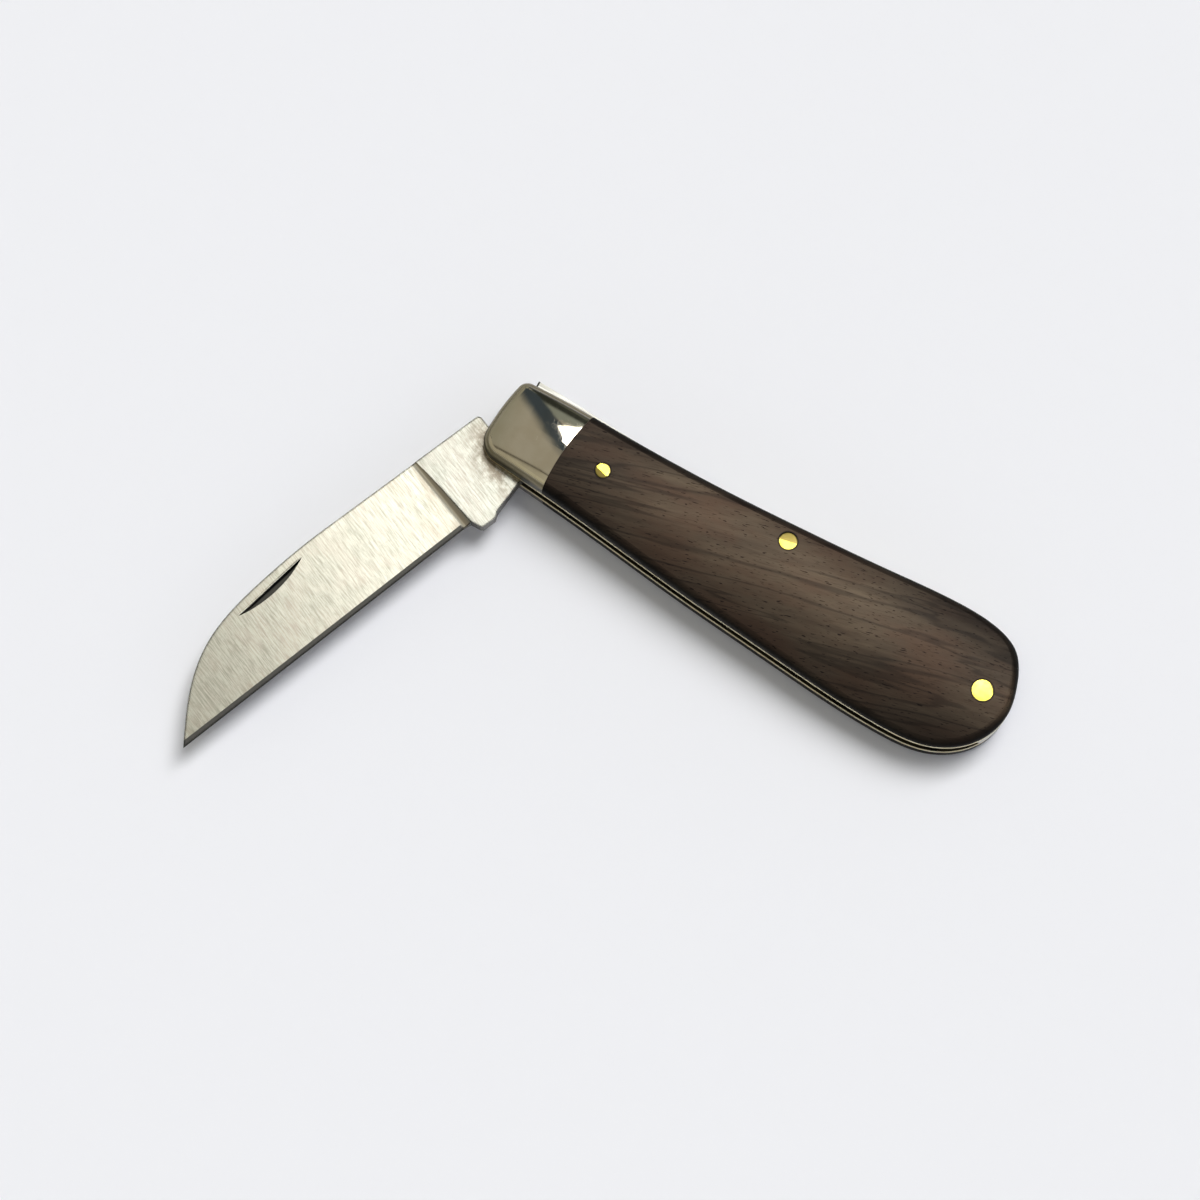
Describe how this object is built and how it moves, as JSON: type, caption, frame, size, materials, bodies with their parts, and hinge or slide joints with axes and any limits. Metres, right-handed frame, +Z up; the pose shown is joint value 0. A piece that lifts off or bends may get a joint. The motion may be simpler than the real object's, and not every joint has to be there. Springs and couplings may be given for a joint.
{
  "type": "folding pocket knife",
  "caption": "Slip-joint folding pocket knife with one straight-edged blade, metal bolsters, pinned wood scales, liners and a backspring; the blade turns on a pivot pin.",
  "frame": {"origin": "a point half way along the handle on the flat of the pile-side scale, on which the knife rests", "axes": "+X along the handle from the bolsters to the butt, +Y towards the handle's back, +Z up from the rest face through the handle's thickness"},
  "size_m": [0.1096, 0.0749, 0.0105],
  "materials": {
    "blade_steel": "satin, ground across the blade",
    "spring_steel": "satin",
    "nickel_silver": "polished nickel silver",
    "liner_brass": "satin",
    "pin_brass": "polished",
    "dark_wood": "oiled dark hardwood"
  },
  "bodies": {
    "handle": {"backspring": "spring_steel", "mark_side_liner": "liner_brass", "pile_side_liner": "liner_brass", "mark_side_bolster": "nickel_silver", "pile_side_bolster": "nickel_silver", "mark_side_scale": "dark_wood", "pile_side_scale": "dark_wood", "pivot_pin": "nickel_silver", "spring_middle_pin": "pin_brass", "spring_end_pin": "pin_brass", "mark_side_scale_pin": "pin_brass", "pile_side_scale_pin": "pin_brass", "mark_side_bolster_rivets": "spring_steel", "pile_side_bolster_rivets": "spring_steel"},
    "blade": {"blade": "blade_steel"}
  },
  "joints": [
    {"name": "blade_pivot", "type": "hinge", "parent": "handle", "child": "blade", "pos_m": [-0.038, 0.002, 0.00525], "axis": [0, 0, -1], "range_deg": [-104.4, 66.6]}
  ]
}
